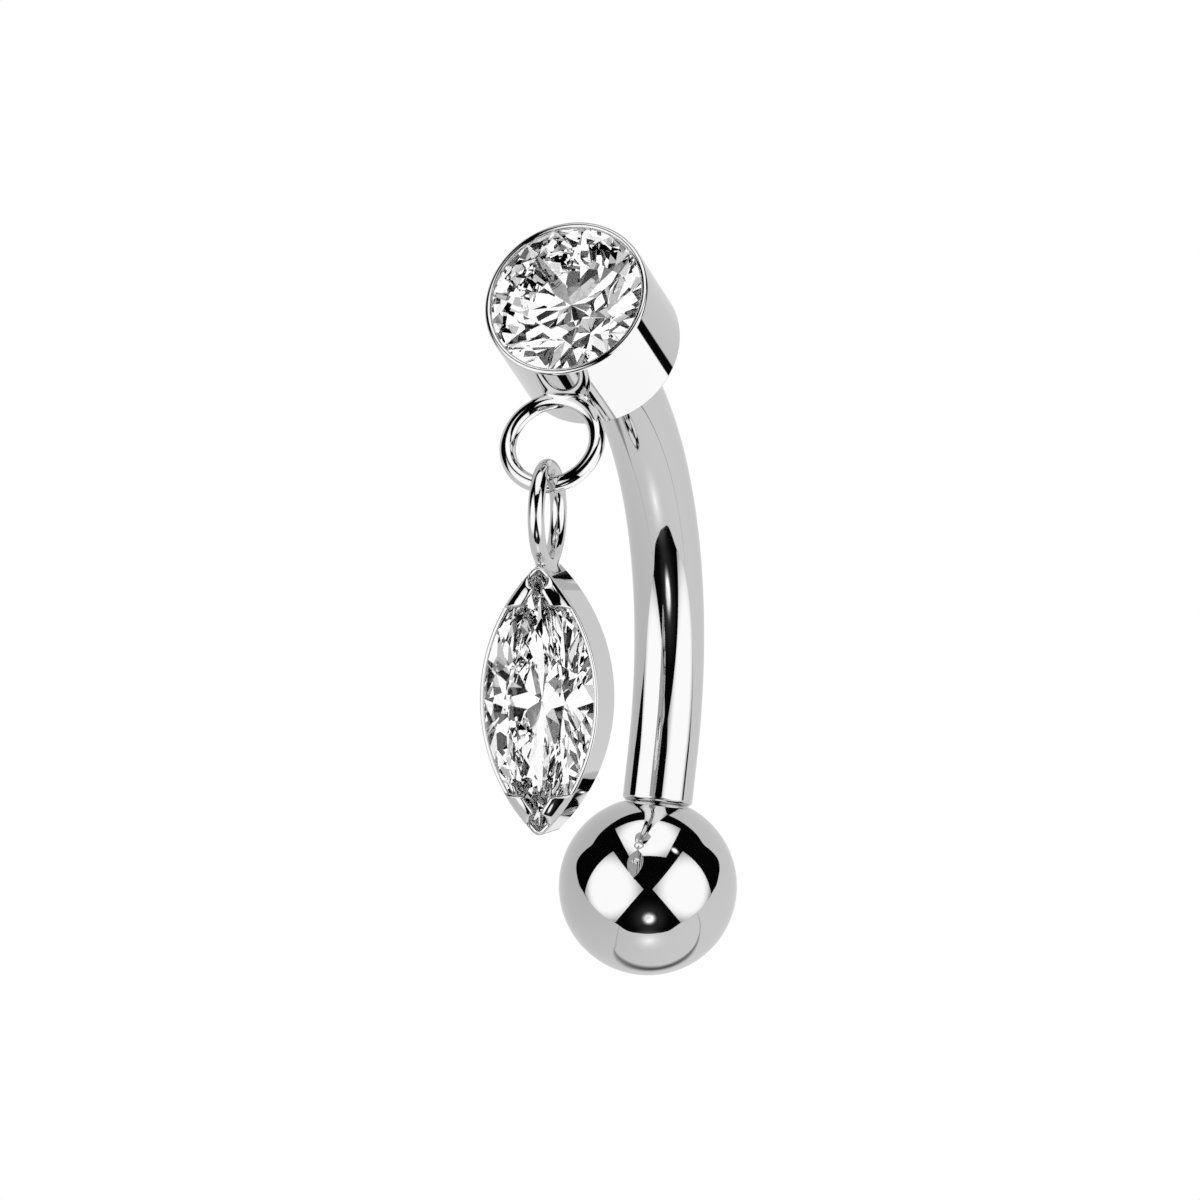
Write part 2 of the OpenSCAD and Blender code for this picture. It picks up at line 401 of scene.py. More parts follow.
def lathe(points, normals, steps):
    """Turns a closed outline of (radius, height) about Z."""
    angles = np.arange(steps) * 2 * math.pi / steps
    c, s = np.cos(angles)[:, None], np.sin(angles)[:, None]
    r, z = points[:, 0][None], points[:, 1][None]
    nr, nz = normals[:, 0][None], normals[:, 1][None]
    grid = np.stack([r * c, r * s, z + 0 * c], axis=-1).reshape(-1, 3)
    directions = np.stack([nr * c, nr * s, nz + 0 * c], axis=-1).reshape(-1, 3)
    faces = [face[::-1] for face in grid_faces(steps, len(points))]
    return Shape(grid, faces, directions)


print("helpers ready")

# %% [markdown]
# The bar is made as the real one is: turned straight on a lathe, its ends
# chamfered and its pins cut, and then bent. Bending follows a rule, so a
# Geometry Nodes tree does it. It takes the height along the straight bar as a
# length along the bend, and turns each section to face the way the bend goes.

# %% The bend, as Geometry Nodes
pin_r = 0.45
ball_pin_l = 1.0
cup_pin_l = 0.4
end_chamfer = 0.06
axis_hole = 0.004


def new_tree(name, inputs):
    tree = bpy.data.node_groups.new(name, "GeometryNodeTree")
    tree.interface.new_socket("Geometry", in_out="INPUT", socket_type="NodeSocketGeometry")
    for label, kind in inputs.items():
        tree.interface.new_socket(label, in_out="INPUT", socket_type=kind)
    tree.interface.new_socket("Geometry", in_out="OUTPUT", socket_type="NodeSocketGeometry")
    return tree, tree.nodes.new("NodeGroupInput").outputs


def close_tree(tree, geometry, material):
    real = node(tree, "GeometryNodeRealizeInstances", Geometry=geometry)
    smooth = node(tree, "GeometryNodeSetShadeSmooth", Geometry=real.outputs[0])
    painted = node(tree, "GeometryNodeSetMaterial", Geometry=smooth.outputs[0], Material=material)
    node(tree, "NodeGroupOutput", Geometry=painted.outputs[0])


bend_tree, given = new_tree("bend", {"Bend radius": "NodeSocketFloat", "Bend angle": "NodeSocketFloat"})
start_place = node(bend_tree, "GeometryNodeInputPosition").outputs[0]
parts = node(bend_tree, "ShaderNodeSeparateXYZ", Vector=start_place)
across, depth, along = parts.outputs
radius = given["Bend radius"]
half_arc = calc(bend_tree, "MULTIPLY", calc(bend_tree, "MULTIPLY", radius, given["Bend angle"]), 0.5)
low_end = calc(bend_tree, "MULTIPLY", half_arc, -1.0)
on_arc = calc(bend_tree, "MINIMUM", calc(bend_tree, "MAXIMUM", along, low_end), half_arc)
past_arc = calc(bend_tree, "SUBTRACT", along, on_arc)
angle = calc(bend_tree, "DIVIDE", on_arc, radius)
cosine = calc(bend_tree, "COSINE", angle)
sine = calc(bend_tree, "SINE", angle)
reach = calc(bend_tree, "ADD", radius, depth)
arc_y = calc(bend_tree, "SUBTRACT", calc(bend_tree, "MULTIPLY", reach, cosine), radius)
arc_z = calc(bend_tree, "MULTIPLY", reach, sine)
bent_y = calc(bend_tree, "SUBTRACT", arc_y, calc(bend_tree, "MULTIPLY", past_arc, sine))
bent_z = calc(bend_tree, "ADD", arc_z, calc(bend_tree, "MULTIPLY", past_arc, cosine))
bent = node(bend_tree, "ShaderNodeCombineXYZ", X=across, Y=bent_y, Z=bent_z)
set_place = node(bend_tree, "GeometryNodeSetPosition", Geometry=given["Geometry"], Position=bent.outputs[0])
close_tree(bend_tree, set_place.outputs[0], polished_steel)


def through_nodes(mesh, tree, values):
    """Runs a mesh through a tree and returns the result as a shape, with its own smooth directions."""
    holder = bpy.data.objects.new("holder", mesh)
    bpy.context.scene.collection.objects.link(holder)
    modifier = holder.modifiers.new("nodes", "NODES")
    modifier.node_group = tree
    for item in tree.interface.items_tree:
        if item.in_out == "INPUT" and item.name in values:
            modifier[item.identifier] = values[item.name]
    seen = holder.evaluated_get(bpy.context.evaluated_depsgraph_get())
    result = bpy.data.meshes.new_from_object(seen)
    points = np.array([v.co for v in result.vertices])
    normals = np.array([n.vector for n in result.vertex_normals])
    faces = [tuple(p.vertices) for p in result.polygons]
    bpy.data.objects.remove(holder)
    bpy.data.meshes.remove(result)
    return Shape(points, faces, normals)


# %% Bar
bar_half = bend_r * half_bend + straight_l
outline, directions = rounded(
    [
        (axis_hole, -bar_half - ball_pin_l, 0),
        (pin_r, -bar_half - ball_pin_l, 0.04),
        (pin_r, -bar_half, 0.01),
        (bar_r - end_chamfer, -bar_half, 0.04),
        (bar_r, -bar_half + end_chamfer, 0.06),
        (bar_r, bar_half - end_chamfer, 0.06),
        (bar_r - end_chamfer, bar_half, 0.04),
        (pin_r, bar_half, 0.01),
        (pin_r, bar_half + cup_pin_l, 0.04),
        (axis_hole, bar_half + cup_pin_l, 0),
    ],
    arc_steps=4,
)
straight = lathe(*spread(outline, directions, 0.09), steps=96)
straight_mesh = bpy.data.meshes.new("straight_bar")
straight_mesh.from_pydata(straight.points.tolist(), [], straight.faces)
bar_shape = through_nodes(straight_mesh, bend_tree, {"Bend radius": bend_r, "Bend angle": bend_angle})

turn = np.clip(straight.points[:, 2] / bend_r, -half_bend, half_bend)
side, front, up = straight.normals.T
cosines, sines = np.cos(turn), np.sin(turn)
turned = np.stack([side, front * cosines - up * sines, front * sines + up * cosines], axis=1)
bar_shape = Shape(bar_shape.points, bar_shape.faces, turned)
piece("bar_polished", bar_shape, as_worn, polished_steel, "bar", "barbell")

# %% [markdown]
# The ball is turned too. It is a true sphere with a bore for the bar's pin, cut
# flat where the bar's end sits.

# %% Ball
bore_r = 0.47
bore_extra = 0.05
ball_mid = math.sqrt(ball_r**2 - bar_r**2)
ball_steps = 120

seat_angle = math.asin(bar_r / ball_r)
arc = [seat_angle + (math.pi - seat_angle - axis_hole) * i / ball_steps for i in range(ball_steps + 1)]
ball_outline = [(ball_r * math.sin(a), ball_mid - ball_r * math.cos(a)) for a in arc]
ball_directions = [(math.sin(a), -math.cos(a)) for a in arc]
bore_end = ball_pin_l + bore_extra
ball_outline += [(axis_hole, bore_end), (bore_r, bore_end), (bore_r, 0)]
ball_directions += [(0, -1), (-0.7, -0.7), (-0.7, -0.7)]
ball_shape = lathe(np.array(ball_outline), np.array(ball_directions), steps=160)
piece("ball_polished", ball_shape, at_ball, polished_steel, "ball", "barbell")

# %% [markdown]
# The rings are bent from round wire: a circle carried round a circle. Both come
# from one Geometry Nodes tree with the two radii as inputs.

# %% Wire rings, as Geometry Nodes
ring_tree, given = new_tree("wire_ring", {"Ring radius": "NodeSocketFloat", "Wire radius": "NodeSocketFloat"})
path = node(ring_tree, "GeometryNodeCurvePrimitiveCircle", Resolution=288, Radius=given["Ring radius"])
section = node(ring_tree, "GeometryNodeCurvePrimitiveCircle", Resolution=56, Radius=given["Wire radius"])
tube = node(ring_tree, "GeometryNodeCurveToMesh", i0=path.outputs["Curve"], i1=section.outputs["Curve"])
close_tree(ring_tree, tube.outputs[0], polished_steel)


def wire_ring(radius):
    radii = {"Ring radius": radius, "Wire radius": wire_r}
    return through_nodes(bpy.data.meshes.new("start"), ring_tree, radii)


# %% [markdown]
# Solder runs into the corner between two pieces and sets as a smooth hollow
# curve. Each piece is described by its distance function: how far a point lies
# from its surface. A smooth minimum of two distances is the surface of the
# soldered joint. Each piece's own points are then lifted onto it, so the two
# meshes meet in one tangent surface, and the slope of that function gives the
# exact direction for the mirror finish.


# %% Solder joint
def soldered_distance(a, b, reach):
    overlap = np.maximum(reach - np.abs(a - b), 0) / reach
    return np.minimum(a, b) - overlap * overlap * reach / 4


def soldered(points, normals, own, other, reach):
    """Lifts points along their directions onto the joint between two distance functions."""

    def joint(p):
        return soldered_distance(own(p), other(p), reach)

    low = np.zeros(len(points))
    high = np.full(len(points), reach / 4)
    for _ in range(30):
        middle = (low + high) / 2
        inside = joint(points + normals * middle[:, None]) < 0
        low = np.where(inside, middle, low)
        high = np.where(inside, high, middle)
    lifted = points + normals * low[:, None]
    step = 1e-4
    slope = np.stack([joint(lifted + step * e) - joint(lifted - step * e) for e in np.eye(3)], axis=1)
    slope /= np.linalg.norm(slope, axis=1)[:, None]
    return lifted, np.where((low > 1e-5)[:, None], slope, normals)


def ring_distance(centre, flat_axis, radius):
    """Distance function of a wire ring that lies square to flat_axis (0, 1 or 2)."""
    others = [i for i in range(3) if i != flat_axis]

    def distance(p):
        q = p - centre
        outward = np.hypot(q[:, others[0]], q[:, others[1]]) - radius
        return np.hypot(outward, q[:, flat_axis]) - wire_r

    return distance


# %% [markdown]
# The cup is a turned bezel. Its wall is pressed over the stone's edge and
# burnished, which leaves a thin bright rim between two fine dark lines. The ring
# is soldered flush to the middle of its wall.

# %% Cup with its ring
lip_low = 0.062
girdle_top = 0.07
seat_r = 1.37
seat_low = 0.16
well_r = 1.0
well_top = 0.472
well_floor = 1.36
cup_solder = 0.08

outline, directions = rounded(
    [
        (bore_r, 0, 0.01),
        (cup_r, 0, 0.05),
        (cup_r, cup_h, 0.058),
        (mouth_r, cup_h, 0.058),
        (mouth_r, cup_h - lip_low, 0.004),
        (seat_r, cup_h - lip_low, 0.004),
        (seat_r, cup_h - seat_low, 0.004),
        (well_r, cup_h - well_top, 0.01),
        (well_r, cup_h - well_floor, 0.02),
        (axis_hole, cup_h - well_floor, 0),
        (axis_hole, cup_pin_l + bore_extra, 0),
        (bore_r, cup_pin_l + bore_extra, 0.01),
    ]
)
cup_body = lathe(*spread(outline, directions, 0.03), steps=360)
ring_centre = np.array((0, -ring_off, cup_h / 2))
ring_shape = placed(wire_ring(ring_r), Matrix.Translation(ring_centre))


def wall_distance(p):
    return np.hypot(p[:, 0], p[:, 1]) - cup_r


cup_ring_distance = ring_distance(ring_centre, 2, ring_r)
on_wall = np.abs(wall_distance(cup_body.points)) < 1e-6
cup_body.points[on_wall], cup_body.normals[on_wall] = soldered(
    cup_body.points[on_wall], cup_body.normals[on_wall], wall_distance, cup_ring_distance, cup_solder
)
ring_points, ring_normals = soldered(
    ring_shape.points, ring_shape.normals, cup_ring_distance, wall_distance, cup_solder
)
cup_shape = joined([cup_body, Shape(ring_points, ring_shape.faces, ring_normals)])
piece("cup_polished", cup_shape, at_cup, polished_steel, "top_cup", "barbell")

# %% [markdown]
# Both stones are cut as brilliants. Above the girdle are a table, eight stars,
# eight kites and sixteen rim facets, below it eight long facets and sixteen rim
# facets. Each facet is a plane, so its corners follow from the girdle's outline:
# two neighbouring kites meet where the girdle's tangents at their tips meet.
# The facets stay flat-shaded, since a cut stone has no round surface at all.

# %% Brilliant cut
rim_steps = 8
rim_count = 16 * rim_steps


def cross_2d(a, b):
    return a[0] * b[1] - a[1] * b[0]


def tangent_corner(p, n, q, m):
    a, b = float(np.dot(p, n)), float(np.dot(q, m))
    return np.array((a * m[1] - b * n[1], b * n[0] - a * m[0])) / cross_2d(n, m)


def brilliant(rim, mains, table, crown, star, pavilion, lower, girdle):
    """rim has rim_count points from the first kite on, and mains the outward directions at the kites."""
    kite = 2 * rim_steps
    corners = [
        tangent_corner(rim[i * kite], mains[i], rim[(i + 1) % 8 * kite], mains[(i + 1) % 8]) for i in range(8)
    ]
    star_z = crown * (1 - star) / (1 - table)
    lower_z = pavilion * (1 - lower)

    def fall(k, share, z):
        start = rim[k // rim_steps * rim_steps]
        stop = rim[(k // rim_steps + 1) * rim_steps % rim_count]
        corner = corners[k // kite] * share
        return z * cross_2d(stop - start, rim[k] - start) / cross_2d(stop - start, corner - start)

    points = [(*(rim[i * kite] * table), crown) for i in range(8)]
    points += [(*(c * star), star_z) for c in corners]
    points += [(*rim[k], fall(k, star, star_z)) for k in range(rim_count)]
    points += [(*rim[k], -girdle - fall(k, lower, lower_z)) for k in range(rim_count)]
    points += [(*(c * lower), -girdle - lower_z) for c in corners]
    points.append((0, 0, -girdle - pavilion))
    top, low = 16, 16 + rim_count
    deep = low + rim_count
    culet = deep + 8
    faces = [tuple(range(8))]
    for i in range(8):
        faces.append((i, 8 + i, (i + 1) % 8))
        faces.append((i, 8 + (i - 1) % 8, top + i * kite, 8 + i))
        faces.append((culet, deep + i, low + i * kite, deep + (i - 1) % 8))
    for s in range(16):
        run = [(s * rim_steps + k) % rim_count for k in range(rim_steps + 1)]
        faces.append((8 + s // 2, *[top + k for k in run]))
        faces.append((deep + s // 2, *[low + k for k in reversed(run)]))
    for k in range(rim_count):
        j = (k + 1) % rim_count
        faces.append((top + k, low + k, low + j, top + j))
    return Shape(np.array(points, float), faces, None)


# %% Round stone
round_r = 1.35
turns = [2 * math.pi * k / rim_count for k in range(rim_count)]
round_rim = round_r * np.array([(math.cos(a), math.sin(a)) for a in turns])
round_mains = [np.array((math.cos(math.pi * i / 4), math.sin(math.pi * i / 4))) for i in range(8)]
round_shape = brilliant(
    round_rim, round_mains, table=0.56, crown=0.42, star=0.72, pavilion=1.14, lower=0.22, girdle=0.07
)
piece(
    "round_brilliant",
    round_shape,
    at_cup @ moved(0, 0, cup_h - girdle_top),
    clear_stone,
    "round_stone",
    "barbell",
)

# %% [markdown]
# The drop is a marquise, a leaf between two arcs with tightly rounded tips. It is
# drawn lying on its back with its rim at height zero. Its stone follows the same
# leaf, a little inside.

# %% Marquise outline and stone
tip_r = 0.12
half_l = drop_l / 2
half_w = drop_w / 2
leaf_r = ((half_l - tip_r) ** 2 / (half_w - tip_r) + half_w + tip_r) / 2
leaf_off = leaf_r - half_w
tip_y = half_l - tip_r
stone_inset = 0.08
stone_r = leaf_r - stone_inset
stone_tip_angle = math.acos(leaf_off / stone_r)


def leaf_station(s):
    """Rim point and outward direction at station s, from 0 at the upper tip over 8 at the lower one."""
    side = -1 if s <= 8 else 1
    angle = stone_tip_angle * (1 - (s if s <= 8 else 16 - s) / 4)
    point = np.array((side * (stone_r * math.cos(angle) - leaf_off), stone_r * math.sin(angle)))
    direction = np.array((side * math.cos(angle), math.sin(angle)))
    if s % 8 == 0:
        direction = np.array((0.0, 1.0 if s == 0 else -1.0))
    return point, direction


leaf_rim = np.array([leaf_station(k / rim_steps)[0] for k in range(rim_count)])
leaf_mains = [leaf_station(2 * i)[1] for i in range(8)]
leaf_shape = brilliant(
    leaf_rim, leaf_mains, table=0.55, crown=0.28, star=0.74, pavilion=0.82, lower=0.24, girdle=0.06
)
piece("marquise_brilliant", leaf_shape, as_hung, clear_stone, "marquise_stone", "drop")

# %% [markdown]
# The setting is a leaf-shaped tray: a wall, a ledge that carries the stone, and
# a plate that closes the back. The plate has a round hole behind the middle of
# the stone, as the ball's reflection of the drop's back shows. One section runs
# round the leaf. It goes down the wall and over the plate to the edge of the
# hole and back. Stations on the arcs and on the rounded tips say where.

# %% Wall and back of the marquise setting
side_steps = 96
tip_steps = 16
ledge_low = 0.18
back_t = 0.14
back_hole_r = 0.525
hole_margin = 0.2

arc_end = math.atan2(tip_y, leaf_off)
Station = namedtuple("Station", "side angle out")


def leaf_stations():
    """Places once round the leaf. On a rounded tip the angle is None, and out is the outward direction."""
    stations = []
    for side, start in ((1, -1), (-1, 1)):
        for k in range(side_steps):
            angle = start * arc_end * (1 - 2 * k / side_steps)
            stations.append(Station(side, angle, (side * math.cos(angle), math.sin(angle))))
        turn_from = arc_end if side > 0 else math.pi + arc_end
        for k in range(tip_steps):
            a = turn_from + (math.pi - 2 * arc_end) * k / tip_steps
            stations.append(Station(side, None, (math.cos(a), math.sin(a))))
    return stations


def leaf_point(station, inset):
    side, angle, out = station
    if angle is None:
        end = 1 if out[1] > 0 else -1
        if inset <= tip_r:
            return (out[0] * (tip_r - inset), end * tip_y + out[1] * (tip_r - inset))
        return (0.0, end * math.sqrt((leaf_r - inset) ** 2 - leaf_off**2))
    radius = leaf_r - inset
    if inset > tip_r:
        limit = math.acos(leaf_off / radius)
        angle = max(-limit, min(limit, angle))
    return (side * (radius * math.cos(angle) - leaf_off), radius * math.sin(angle))


def tray_point(station, inset):
    """Place and outward direction. An inset past the wall's runs on to the hole, one unit further in."""
    if inset <= wall_t:
        return leaf_point(station, inset), station.out
    x, y = leaf_point(station, wall_t)
    hole_angle = math.atan2(y * half_w / half_l, x)
    toward_hole = (math.cos(hole_angle), math.sin(hole_angle))
    left = 1 - (inset - wall_t)
    share = min(1, (inset - wall_t) / (1 - hole_margin))
    radius = back_hole_r + min(left, hole_margin)
    if share == 1:
        return (radius * toward_hole[0], radius * toward_hole[1]), toward_hole
    return (
        x + (radius * toward_hole[0] - x) * share,
        y + (radius * toward_hole[1] - y) * share,
    ), toward_hole


def leaf_sweep(outline, directions):
    """Carries a section of (inset, height) round the leaf."""
    stations = leaf_stations()
    points, normals = [], []
    for station in stations:
        for (inset, z), (n_in, n_z) in zip(outline, directions):
            (x, y), (dx, dy) = tray_point(station, inset)
            points.append((x, y, z))
            normals.append((-n_in * dx, -n_in * dy, n_z))
    faces = grid_faces(len(stations), len(outline))
    return Shape(np.array(points), faces, np.array(normals))


hole_edge = wall_t + 1
outline, directions = rounded(
    [
        (0, 0, 0.035),
        (0, -wall_h, 0.04),
        (hole_edge, -wall_h, 0.03),
        (hole_edge, back_t - wall_h, 0.03),
        (wall_t, back_t - wall_h, 0.03),
        (wall_t, -ledge_low, 0.01),
        (stone_inset - 0.005, -0.085, 0.004),
        (stone_inset - 0.005, 0, 0.02),
    ]
)
wall_shape = leaf_sweep(*spread(outline, directions, 0.05))


def leaf_distance(p):
    x, y = np.abs(p[:, 0]), np.abs(p[:, 1])
    from_tip = np.hypot(x, y - tip_y) - tip_r
    from_arc = np.hypot(x + leaf_off, y) - leaf_r
    return np.where(np.arctan2(y, x + leaf_off) > arc_end, from_tip, from_arc)


# %% Loop soldered to the tip
drop_solder = 0.13

loop_centre = np.array((0, loop_mid, -wall_h / 2))
loop_shape = placed(wire_ring(loop_r), Matrix.Translation(loop_centre) @ turned_about("Y", math.pi / 2))
loop_distance = ring_distance(loop_centre, 0, loop_r)
on_outside = (np.abs(leaf_distance(wall_shape.points)) < 1e-6) & (wall_shape.points[:, 1] > 0)
wall_shape.points[on_outside], wall_shape.normals[on_outside] = soldered(
    wall_shape.points[on_outside], wall_shape.normals[on_outside], leaf_distance, loop_distance, drop_solder
)
loop_points, loop_normals = soldered(
    loop_shape.points, loop_shape.normals, loop_distance, leaf_distance, drop_solder
)
loop_shape = Shape(loop_points, loop_shape.faces, loop_normals)

# %% [markdown]
# A V claw holds each point of the stone: a small plate of metal, pushed over the
# stone and burnished round, with a keyhole at the very tip. The plate is swept
# along the leaf from one of its ends over the tip to the other. At each place
# the section is an arch from the outer edge to the inner edge. The inner edge
# runs round the keyhole, pinches in below it and then follows the plate's arm.

# %% Claws
Across = namedtuple("Across", "outer_y inner_x inner_y low high")
claw = [
    Across(half_l - 0.005, 0.0, 2.232, 0.0, 0.02),
    Across(2.215, 0.118, 2.185, 0.0, 0.03),
    Across(2.10, 0.160, 2.08, 0.01, 0.05),
    Across(2.01, 0.132, 1.965, 0.06, 0.08),
    Across(1.93, 0.068, 1.905, 0.10, 0.10),
    Across(1.83, 0.090, 1.830, 0.12, 0.11),
    Across(1.72, 0.150, 1.740, 0.14, 0.11),
    Across(1.61, 0.215, 1.650, 0.16, 0.10),
]
claw_steps = 9
arch_steps = 20
arch_power = 2.3
end_round = 0.06
end_steps = 8
claw_foot = -0.08
claw_edge = 0.004


def outer_x(y):
    """Half width of the leaf at a height y of its outline, on the arc or on the rounded tip."""
    if y > half_l - claw_edge - 0.002:
        return 0.0
    on_arc = math.sqrt((leaf_r - claw_edge) ** 2 - y * y) - leaf_off
    on_tip = math.sqrt(max((tip_r - claw_edge) ** 2 - max(y - tip_y, 0) ** 2, 0))
    return on_arc if y < leaf_r * math.sin(arc_end) else on_tip


def claw_sections():
    """Outer point, inner point, inner height and arch height along half a claw, from its tip to its end."""
    sections = []
    for outer_y, inner_x, inner_y, low, high in smooth_curve(claw, claw_steps):
        outer_y = min(outer_y, half_l - claw_edge)
        sections.append((np.array((outer_x(outer_y), outer_y)), np.array((inner_x, inner_y)), low, high))
    outer, inner, low, high = sections[-1]
    along = sections[-1][0] - sections[-2][0]
    along /= np.linalg.norm(along)
    for k in range(1, end_steps + 1):
        turn = math.pi / 2 * k / end_steps
        shift = along * end_round * math.sin(turn)
        y = outer[1] + shift[1]
        sections.append((np.array((outer_x(y), y)), inner + shift, low, high * math.cos(turn)))
    return sections


def claw_shape():
    half = claw_sections()
    flip = np.array((-1, 1))
    full = [(o * flip, i * flip, low, high) for o, i, low, high in half[:0:-1]] + half
    points = []
    for outer, inner, low, high in full:
        points.append((*outer, claw_foot))
        for k in range(arch_steps + 1):
            u = (1 - math.cos(math.pi * k / arch_steps)) / 2
            arch = (1 - abs(2 * u - 1) ** arch_power) ** (1 / arch_power)
            x, y = outer + (inner - outer) * u
            points.append((x, y, low * u + high * arch))
        points.append((*inner, claw_foot))
    row = arch_steps + 3
    faces = []
    for r in range(len(full) - 1):
        for c in range(row):
            d = (c + 1) % row
            faces.append((r * row + c, (r + 1) * row + c, (r + 1) * row + d, r * row + d))
    last = (len(full) - 1) * row
    faces.append(tuple(range(row)))
    faces.append(tuple(last + c for c in reversed(range(row))))
    points = np.array(points)
    top = points[:, 2] > claw_foot + 1e-6
    return Shape(points, faces, smooth_directions(points, faces, top))


def smooth_directions(points, faces, wanted):
    """Directions of the mesh's own smooth shading at the wanted points, and none at the others."""
    mesh = bpy.data.meshes.new("directions")
    mesh.from_pydata(points.tolist(), [], faces)
    directions = np.array([n.vector for n in mesh.vertex_normals])
    bpy.data.meshes.remove(mesh)
    directions[~wanted] = 0
    return directions


def turned_over(shape):
    """The same shape at the other end of the leaf, turned by half a turn about Z."""
    flip = np.array((-1.0, -1.0, 1.0))
    return Shape(shape.points * flip, shape.faces, shape.normals * flip)


upper_claw = claw_shape()
tabs = [upper_claw, turned_over(upper_claw)]
setting_shape = joined([wall_shape, loop_shape] + tabs)
piece("marquise_setting", setting_shape, as_hung, polished_steel, "drop_setting", "drop")

# %% [markdown]
# A mirror shows its surroundings, so the studio is half of the look. The ball in
# the photograph shows what stood round the piece: a pale grey room behind and
# below, black cloth on the camera's side, and three softboxes in the black, one
# above and one to each side. Each softbox is brightest in the middle. All of it
# is built as panels that only the piece sees. A panel's corners are directions
# from the piece, written as right, down and ahead of the camera, because that is
# how they are read off the ball.


# %% Studio helpers
staged = {}


def toward(x, y, z):
    return (view_right * x + view_down * y + view_ahead * z).normalized()


def stage_mesh(name, points, faces, material, seen_by=("glossy",)):
    """A stage object that only the named kinds of ray see."""
    mesh = bpy.data.meshes.new(name)
    mesh.from_pydata([tuple(p) for p in points], [], faces)
    mesh.materials.append(material)
    thing = bpy.data.objects.new(name, mesh)
    bpy.context.scene.collection.objects.link(thing)
    for ray in ("camera", "diffuse", "glossy", "transmission", "volume_scatter", "shadow"):
        setattr(thing, "visible_" + ray, ray in seen_by)
    staged[name] = thing
    return thing


def light_material(name, strength_from, see_through=False):
    """A glowing material. strength_from(tree) returns the strength, as a value or a socket."""
    material, tree = new_material(name)
    surface = node(tree, "ShaderNodeEmission", Strength=strength_from(tree)).outputs[0]
    if see_through:
        clear = node(tree, "ShaderNodeBsdfTransparent")
        surface = node(tree, "ShaderNodeAddShader", i0=surface, i1=clear.outputs[0]).outputs[0]
    node(tree, "ShaderNodeOutputMaterial", Surface=surface)
    return material


def grid(columns, rows):
    """Faces of an open grid of points that is stored row by row."""
    return [
        (r * columns + c, r * columns + c + 1, (r + 1) * columns + c + 1, (r + 1) * columns + c)
        for r in range(rows - 1)
        for c in range(columns - 1)
    ]


def give_uv(thing, columns, rows):
    layer = thing.data.uv_layers.new(name="UVMap")
    for loop in thing.data.loops:
        r, c = divmod(loop.vertex_index, columns)
        layer.data[loop.index].uv = (c / (columns - 1), r / (rows - 1))


def from_middle(tree):
    """Distance from the middle of a panel, 0.5 at the middle of a side."""
    settings = {"operation": "DISTANCE"}
    place = coordinates(tree, "UV")
    return node(tree, "ShaderNodeVectorMath", settings, i0=place, i1=(0.5, 0.5, 0)).outputs["Value"]


def shade_ramp(tree, place, stops, interpolation):
    """Grey shades along a place from 0 to 1, from stops of (place, shade)."""
    ramp = node(tree, "ShaderNodeValToRGB", i0=place)
    ramp.color_ramp.interpolation = interpolation
    elements = ramp.color_ramp.elements
    for i, (stop_place, shade) in enumerate(stops):
        stop = elements[i] if i < 2 else elements.new(stop_place)
        stop.position = stop_place
        stop.color = (shade, shade, shade, 1)
    return ramp.outputs["Color"]


def globe(name, radius, material, seen_by=("glossy",)):
    form = bmesh.new()
    bmesh.ops.create_icosphere(form, subdivisions=5, radius=radius)
    points = [v.co.copy() for v in form.verts]
    faces = [tuple(v.index for v in f.verts) for f in form.faces]
    form.free()
    return stage_mesh(name, points, faces, material, seen_by)


# %% Softboxes
softbox_distance = 1.0
softbox_steps = 13
softbox_peak, softbox_low = 1.42, 0.5
softbox_fall_from, softbox_fall_to = 0.35, 0.74


def softbox_fall(tree):
    place = from_middle(tree)
    return mapped(tree, place, softbox_fall_from, softbox_fall_to, softbox_peak, softbox_low, "SMOOTHSTEP")


softbox_cloth = light_material("softbox_cloth", softbox_fall)


def softbox(name, corners):
    a, b, c, d = [toward(*corner) * softbox_distance for corner in corners]
    across = [i / (softbox_steps - 1) for i in range(softbox_steps)]
    points = [a.lerp(b, u).lerp(d.lerp(c, u), v) for v in across for u in across]
    panel = stage_mesh(name, points, grid(softbox_steps, softbox_steps), softbox_cloth)
    give_uv(panel, softbox_steps, softbox_steps)


softbox(
    "softbox_top",
    [
        (-0.495, -0.86, 0.11),
        (0.495, -0.86, 0.11),
        (0.375, -0.6, -0.705),
        (-0.375, -0.6, -0.705),
    ],
)
for side, name in ((-1, "softbox_left"), (1, "softbox_right")):
    softbox(
        name,
        [
            (0.65 * side, -0.655, -0.385),
            (0.10 * side, 0.06, -0.993),
            (0.61 * side, 0.675, -0.41),
            (0.99 * side, 0.12, 0.01),
        ],
    )
print("three softboxes")

# %% [markdown]
# The black cloth hangs round the camera and the softboxes. Its edge isn't
# straight: it bulges to both sides. A smooth closed curve goes through a few
# directions of that edge, and the cloth spans from there to the camera. On the
# room's floor stands a round table, whose edge shows as a thin dark curve.


# %% Black cloth
cloth_distance = 2.0
cloth_edge = [
    (0.0, -0.91, 0.42),
    (0.24, -0.89, 0.39),
    (0.47, -0.82, 0.33),
    (0.67, -0.69, 0.28),
    (0.78, -0.58, 0.23),
    (0.82, -0.48, 0.31),
    (0.85, -0.33, 0.42),
    (0.89, -0.24, 0.40),
    (0.95, -0.12, 0.28),
    (0.985, 0.0, 0.17),
    (0.985, 0.12, 0.03),
    (0.84, 0.47, -0.27),
    (0.60, 0.69, -0.405),
    (0.39, 0.83, -0.405),
    (0.16, 0.885, -0.438),
    (0.0, 0.90, -0.44),
]
cloth_rows = 16
cloth_smooth = 6
cloth_start = 0.02
cloth_grey = 0.002

